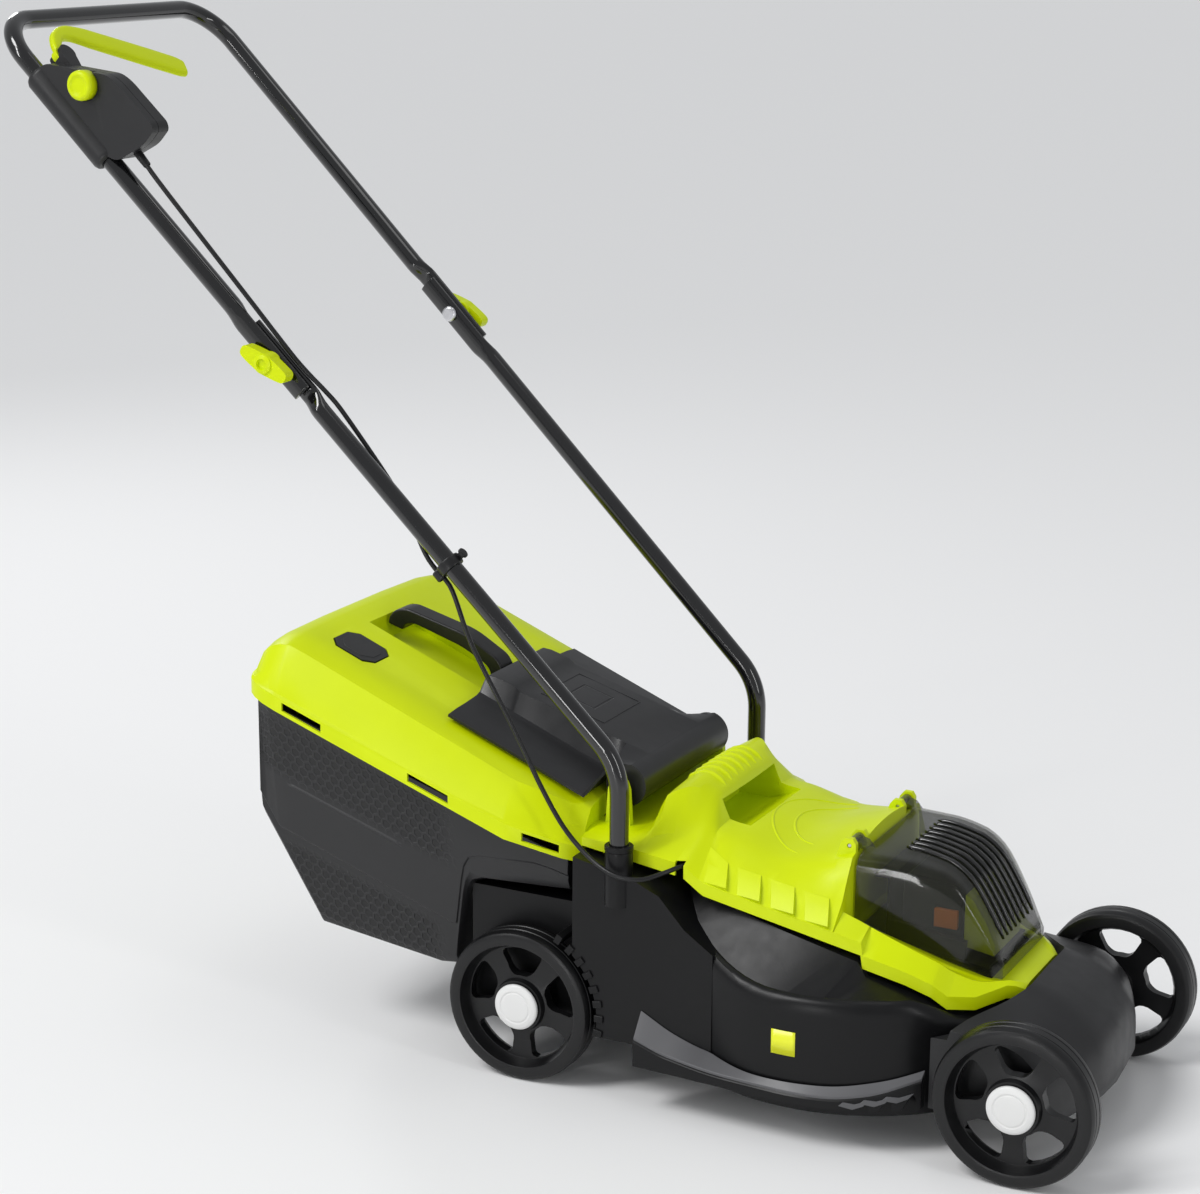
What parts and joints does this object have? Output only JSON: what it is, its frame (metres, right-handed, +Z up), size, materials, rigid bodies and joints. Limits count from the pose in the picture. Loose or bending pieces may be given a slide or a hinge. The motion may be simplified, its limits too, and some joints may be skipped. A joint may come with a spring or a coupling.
{
  "type": "push lawn mower",
  "caption": "Small battery push mower: moulded deck with a blade, four spoked wheels, hinged battery bay cover, rear flap, grass box and a folding tubular handle with a lever.",
  "frame": {"origin": "on the ground, under the centre of the whole mower's bounding box", "axes": "+X forward (the way it is pushed), +Y to its left, +Z up"},
  "size_m": [1.1892, 0.41, 1.0268],
  "materials": {
    "lime": "satin moulded, yellow-green",
    "deck_black": "semi-gloss moulded, black",
    "charcoal": "satin, fine grain",
    "black": "satin",
    "comb_grey": "satin, mid grey",
    "wheel_black": "matte, hard moulded tread",
    "white": "satin",
    "orange": "satin",
    "smoke": "clear, smoked",
    "tube_black": "gloss powder coat",
    "steel": "zinc plated",
    "alloy": "cast",
    "copper": "enamelled winding",
    "cable": "satin jacket"
  },
  "bodies": {
    "chassis": {"deck": "deck_black", "front_housing": "charcoal", "grass_comb_right": "comb_grey", "grass_comb_left": "comb_grey", "motor_cover": "lime", "motor_base": "steel", "motor_can": "alloy", "stator": "copper", "controller_box": "black", "battery_tray": "black", "terminal_block": "black", "battery_pack": "black", "battery_front": "lime", "flap_hinge_pin": "steel", "flap_spring": "steel", "cover_pin_right": "steel", "cover_pin_left": "steel", "lower_leg_right": "tube_black", "lower_leg_left": "tube_black", "knob_bolt_right": "steel", "knob_bolt_left": "steel", "cable_clip": "black", "switch_cable": "cable"},
    "rotor_group": {"rotor": "steel", "motor_shaft": "steel", "blade_carrier": "alloy", "blade": "steel", "blade_washer": "steel", "blade_bolt": "steel"},
    "rear_axle": {"axle_rear": "steel"},
    "front_axle": {"axle_front": "steel"},
    "rear_flap": {"grass_flap": "charcoal"},
    "bay_cover": {"battery_cover": "smoke"},
    "latch_right": {"battery_latch_right": "orange"},
    "latch_left": {"battery_latch_left": "orange"},
    "collector": {"grass_box": "charcoal", "box_lid": "lime", "lid_handle": "black"},
    "indicator": {"fill_indicator": "charcoal"},
    "handle": {"upper_handle": "tube_black", "switch_box_outer": "charcoal", "switch_box_inner": "charcoal", "lever_pin": "steel", "microswitch": "black", "button_spring": "steel", "cable_grommet": "black"},
    "lever": {"bail_lever": "lime"},
    "button": {"lock_off_button": "lime"},
    "knob_right": {"wing_knob_right": "lime"},
    "knob_left": {"wing_knob_left": "lime"},
    "wheel_rear_right_group": {"wheel_rear_right": "wheel_black", "hub_cap_rear_right": "white"},
    "wheel_rear_left_group": {"wheel_rear_left": "wheel_black", "hub_cap_rear_left": "white"},
    "wheel_front_right_group": {"wheel_front_right": "wheel_black", "hub_cap_front_right": "white"},
    "wheel_front_left_group": {"wheel_front_left": "wheel_black", "hub_cap_front_left": "white"}
  },
  "joints": [
    {"name": "blade_spin", "type": "hinge", "parent": "chassis", "child": "rotor_group", "pos_m": [0.29483, 0, 0.06], "axis": [0, 0, 1], "continuous": true},
    {"name": "rear_height", "type": "slide", "parent": "chassis", "child": "rear_axle", "axis": [0, 0, -1], "range_m": [0, 0.03]},
    {"name": "front_height", "type": "slide", "parent": "chassis", "child": "front_axle", "axis": [0, 0, -1], "range_m": [0, 0.03]},
    {"name": "wheel_rear_right_spin", "type": "hinge", "parent": "rear_axle", "child": "wheel_rear_right_group", "pos_m": [0.00483, -0.165, 0.0778], "axis": [0, 1, 0], "continuous": true},
    {"name": "wheel_rear_left_spin", "type": "hinge", "parent": "rear_axle", "child": "wheel_rear_left_group", "pos_m": [0.00483, 0.165, 0.0778], "axis": [0, 1, 0], "continuous": true},
    {"name": "wheel_front_right_spin", "type": "hinge", "parent": "front_axle", "child": "wheel_front_right_group", "pos_m": [0.51683, -0.165, 0.0778], "axis": [0, 1, 0], "continuous": true},
    {"name": "wheel_front_left_spin", "type": "hinge", "parent": "front_axle", "child": "wheel_front_left_group", "pos_m": [0.51683, 0.165, 0.0778], "axis": [0, 1, 0], "continuous": true},
    {"name": "flap_lift", "type": "hinge", "parent": "chassis", "child": "rear_flap", "pos_m": [0.08283, 0, 0.298], "axis": [0, 1, 0], "range_deg": [0, 75], "stiffness_Nm_per_rad": 0.15},
    {"name": "bay_cover_lift", "type": "hinge", "parent": "chassis", "child": "bay_cover", "pos_m": [0.31383, 0, 0.268], "axis": [0, -1, 0], "range_deg": [0, 100]},
    {"name": "latch_right_press", "type": "slide", "parent": "chassis", "child": "latch_right", "axis": [0, 1, 0], "range_m": [0, 0.003], "stiffness_N_per_m": 400},
    {"name": "latch_left_press", "type": "slide", "parent": "chassis", "child": "latch_left", "axis": [0, -1, 0], "range_m": [0, 0.003], "stiffness_N_per_m": 400},
    {"name": "collector_off", "type": "slide", "parent": "chassis", "child": "collector", "axis": [-1, 0, 0], "range_m": [0, 0.35]},
    {"name": "indicator_lift", "type": "hinge", "parent": "collector", "child": "indicator", "pos_m": [-0.24417, 0, 0.4096], "axis": [0, -1, 0], "range_deg": [0, 35]},
    {"name": "handle_fold", "type": "hinge", "parent": "chassis", "child": "handle", "pos_m": [-0.26308, 0, 0.70254], "axis": [0, 1, 0], "range_deg": [0, 150], "deforming": ["switch_cable"]},
    {"name": "lever_pull", "type": "hinge", "parent": "handle", "child": "lever", "pos_m": [-0.51771, -0.163, 0.98352], "axis": [0.6989, 0, 0.7152], "range_deg": [0, 18], "stiffness_Nm_per_rad": 0.4},
    {"name": "button_press", "type": "slide", "parent": "handle", "child": "button", "axis": [0, 1, 0], "range_m": [0, 0.004], "stiffness_N_per_m": 300, "deforming": ["button_spring"]},
    {"name": "knob_right_turn", "type": "hinge", "parent": "chassis", "child": "knob_right", "pos_m": [-0.26308, -0.19435, 0.70254], "axis": [0, 1, 0], "continuous": true},
    {"name": "knob_left_turn", "type": "hinge", "parent": "chassis", "child": "knob_left", "pos_m": [-0.26308, 0.19435, 0.70254], "axis": [0, 1, 0], "continuous": true}
  ]
}
